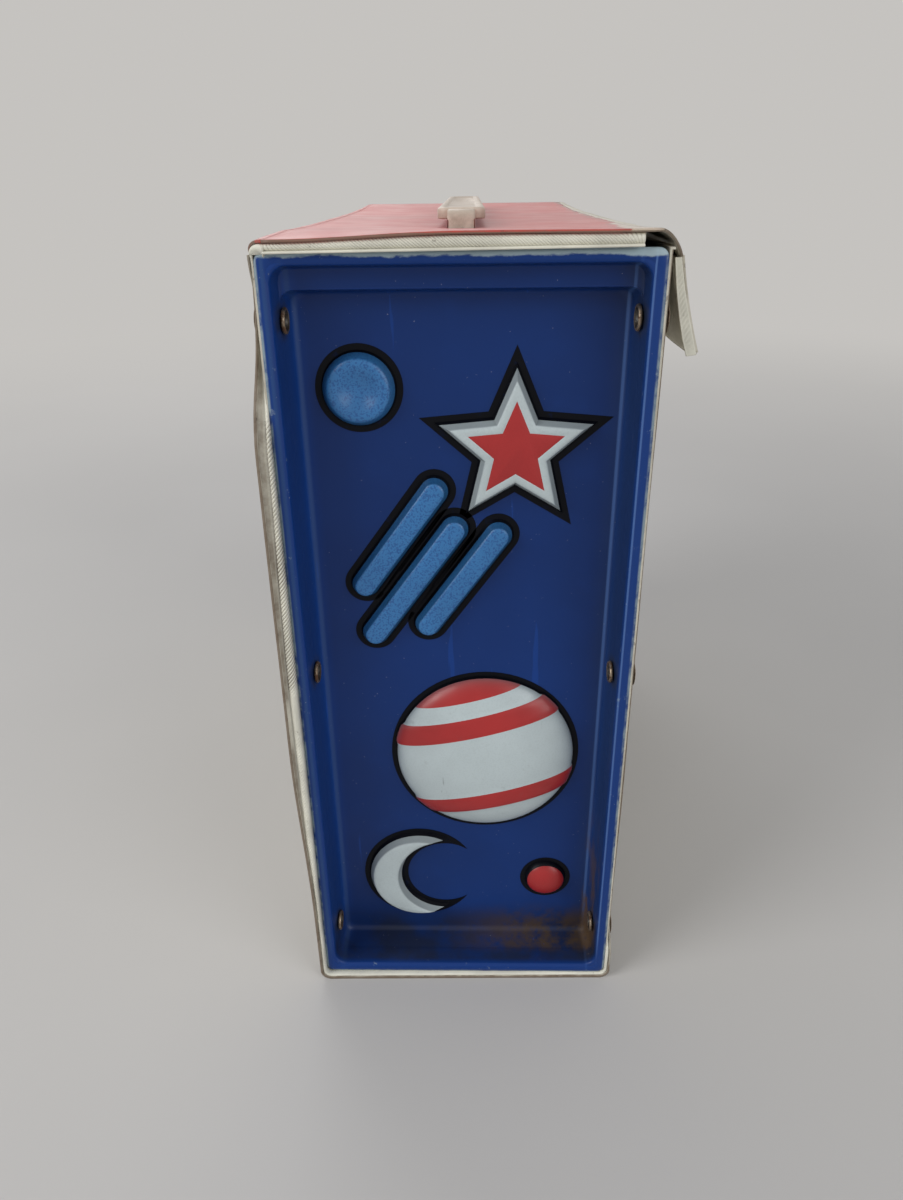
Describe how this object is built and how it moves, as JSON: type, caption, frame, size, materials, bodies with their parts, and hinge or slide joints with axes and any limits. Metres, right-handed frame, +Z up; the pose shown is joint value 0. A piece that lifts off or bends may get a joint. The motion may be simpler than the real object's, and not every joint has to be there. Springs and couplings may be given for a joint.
{
  "type": "lunch box",
  "caption": "Upright vinyl-covered lunch box with recessed formed plastic ends, a fold-back lid, a snap flap and a sliding strap handle.",
  "frame": {"origin": "middle of the flat bottom face", "axes": "+Z up, +X towards the front wall with the flap, +Y along the case away from the pictured end"},
  "size_m": [0.1125, 0.262, 0.2531],
  "materials": {
    "vinyl_cream": "satin vinyl, fine grain",
    "vinyl_red": "satin vinyl, fine grain",
    "lining_cream": "matt vinyl",
    "welt_cream": "ribbed heat-sealed vinyl, soiled",
    "card": "grey-brown card",
    "tray_blue": "semi-gloss formed sheet, painted relief",
    "rivet_steel": "rusted plating",
    "handle_cream": "moulded, satin",
    "keeper_steel": "dull plate",
    "snap_nickel": "dull nickel"
  },
  "bodies": {
    "case": {"case_skin": "vinyl_cream", "case_lining": "lining_cream", "front_board": "card", "back_board": "card", "bottom_board": "card", "near_case_welt": "welt_cream", "far_case_welt": "welt_cream", "near_end_tray": "tray_blue", "far_end_tray": "tray_blue", "near_tray_rivets": "rivet_steel", "far_tray_rivets": "rivet_steel", "snap_stud": "snap_nickel", "snap_post": "snap_nickel", "lid_hinge_web": "vinyl_red"},
    "lid": {"lid_skin": "vinyl_red", "lid_board": "card", "lid_lining": "lining_cream", "near_lid_welt": "welt_cream", "far_lid_welt": "welt_cream", "near_slot_plate": "keeper_steel", "far_slot_plate": "keeper_steel", "flap_fold_web": "vinyl_cream"},
    "flap": {"flap_skin": "vinyl_cream", "flap_board": "card", "flap_lining": "lining_cream", "near_flap_welt": "welt_cream", "far_flap_welt": "welt_cream", "snap_cap": "snap_nickel", "snap_socket": "snap_nickel"},
    "handle": {"carry_handle": "handle_cream", "near_handle_keeper": "keeper_steel", "far_handle_keeper": "keeper_steel"}
  },
  "joints": [
    {"name": "lid_hinge", "type": "hinge", "parent": "case", "child": "lid", "pos_m": [-0.05029, 0, 0.24759], "axis": [0, -1, 0], "range_deg": [0, 200], "deforming": ["lid_hinge_web"]},
    {"name": "flap_fold", "type": "hinge", "parent": "lid", "child": "flap", "pos_m": [0.05257, 0, 0.24707], "axis": [0, -1, 0], "range_deg": [-8, 105], "deforming": ["flap_fold_web"]},
    {"name": "handle_lift", "type": "slide", "parent": "lid", "child": "handle", "axis": [0, 0, 1], "range_m": [0, 0.02]}
  ]
}
